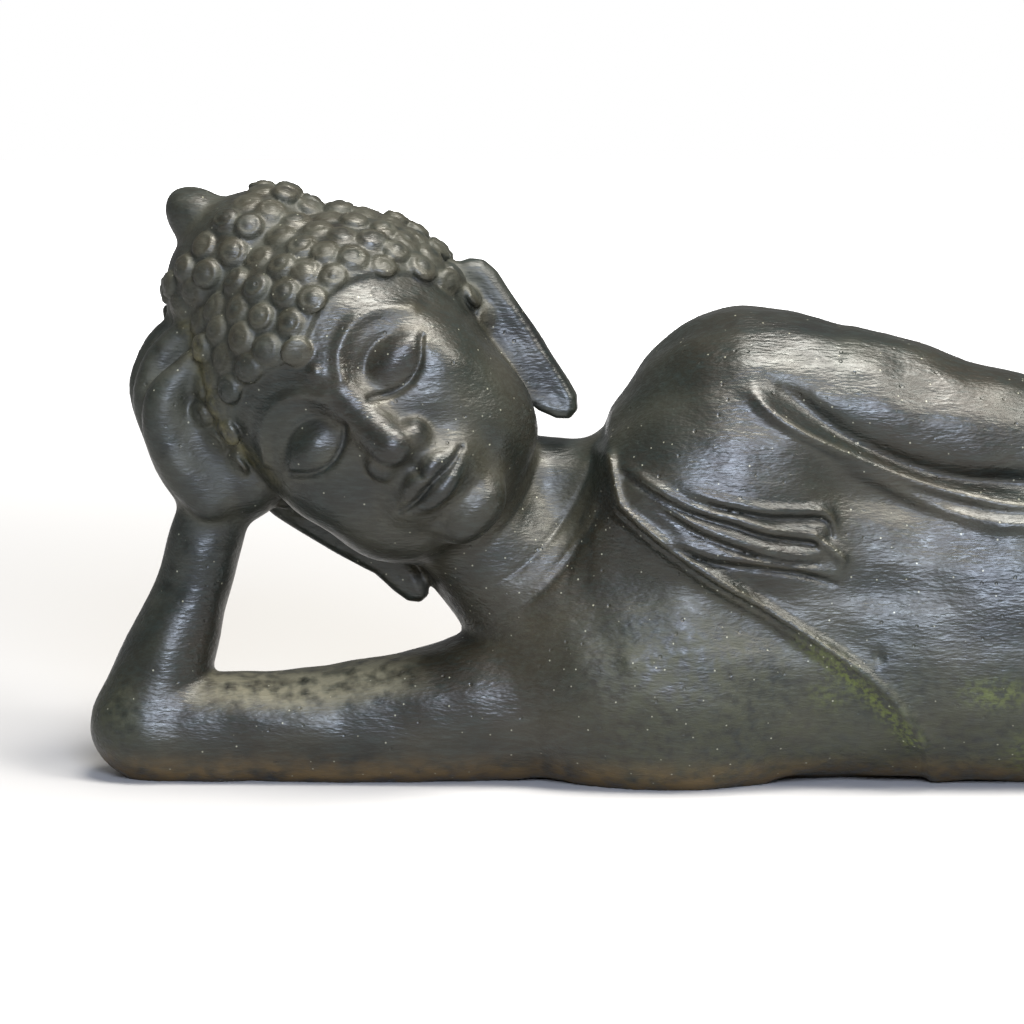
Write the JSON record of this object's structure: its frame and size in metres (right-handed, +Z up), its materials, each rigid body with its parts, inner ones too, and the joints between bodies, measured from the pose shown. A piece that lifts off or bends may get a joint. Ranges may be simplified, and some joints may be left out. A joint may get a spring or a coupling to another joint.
{
  "type": "reclining buddha statue",
  "caption": "Cast bronze reclining Buddha lying on its right side, the curl-covered head propped on a hand, the other arm along the draped robe, the underside flat for resting.",
  "frame": {"origin": "Centre of the underside of the figure's bounding box, on the ground it lies on", "axes": "+X runs from the head end to the feet, +Y from the figure's front to its back, +Z up"},
  "size_m": [0.63, 0.107, 0.1783],
  "materials": {
    "patinated_bronze": "satin"
  },
  "bodies": {
    "root": {"reclining_buddha": "patinated_bronze"}
  },
  "joints": []
}
